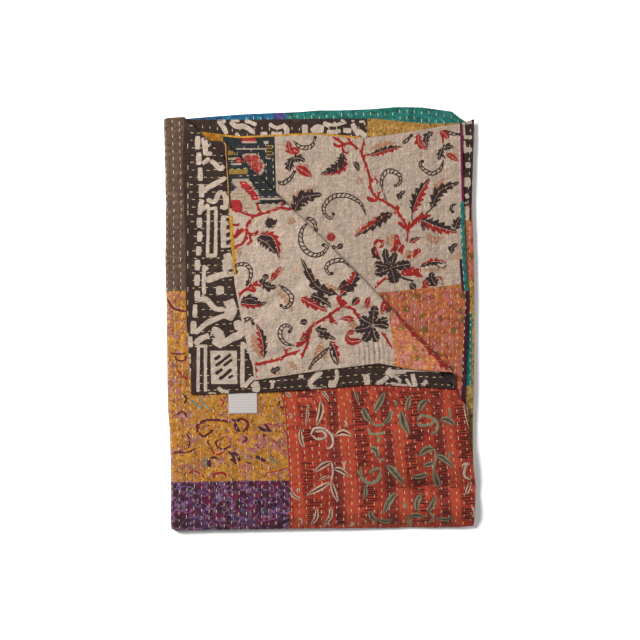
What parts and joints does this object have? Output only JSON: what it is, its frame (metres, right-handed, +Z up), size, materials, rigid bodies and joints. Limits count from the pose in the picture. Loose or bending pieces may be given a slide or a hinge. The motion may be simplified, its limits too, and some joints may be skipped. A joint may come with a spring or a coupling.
{
  "type": "folded kantha quilt",
  "caption": "Patched and quilted cloth throw, folded flat to eight layers, with one top corner turned back to show its other side and a bare sewn label.",
  "frame": {"origin": "middle of the folded quilt's footprint, on the surface it lies on", "axes": "+Z up through the layers; +Y along the folded quilt from the near fold to the open edges; +X across it from the left fold to the open side"},
  "size_m": [0.5884, 0.8002, 0.0371],
  "materials": {
    "quilted_cloth": "matt printed silk and cotton patches, hand quilted with running stitches",
    "satin_label": "thin pale satin, bare"
  },
  "bodies": {
    "root": {"quilt": "quilted_cloth", "care_label": "satin_label"}
  },
  "joints": []
}
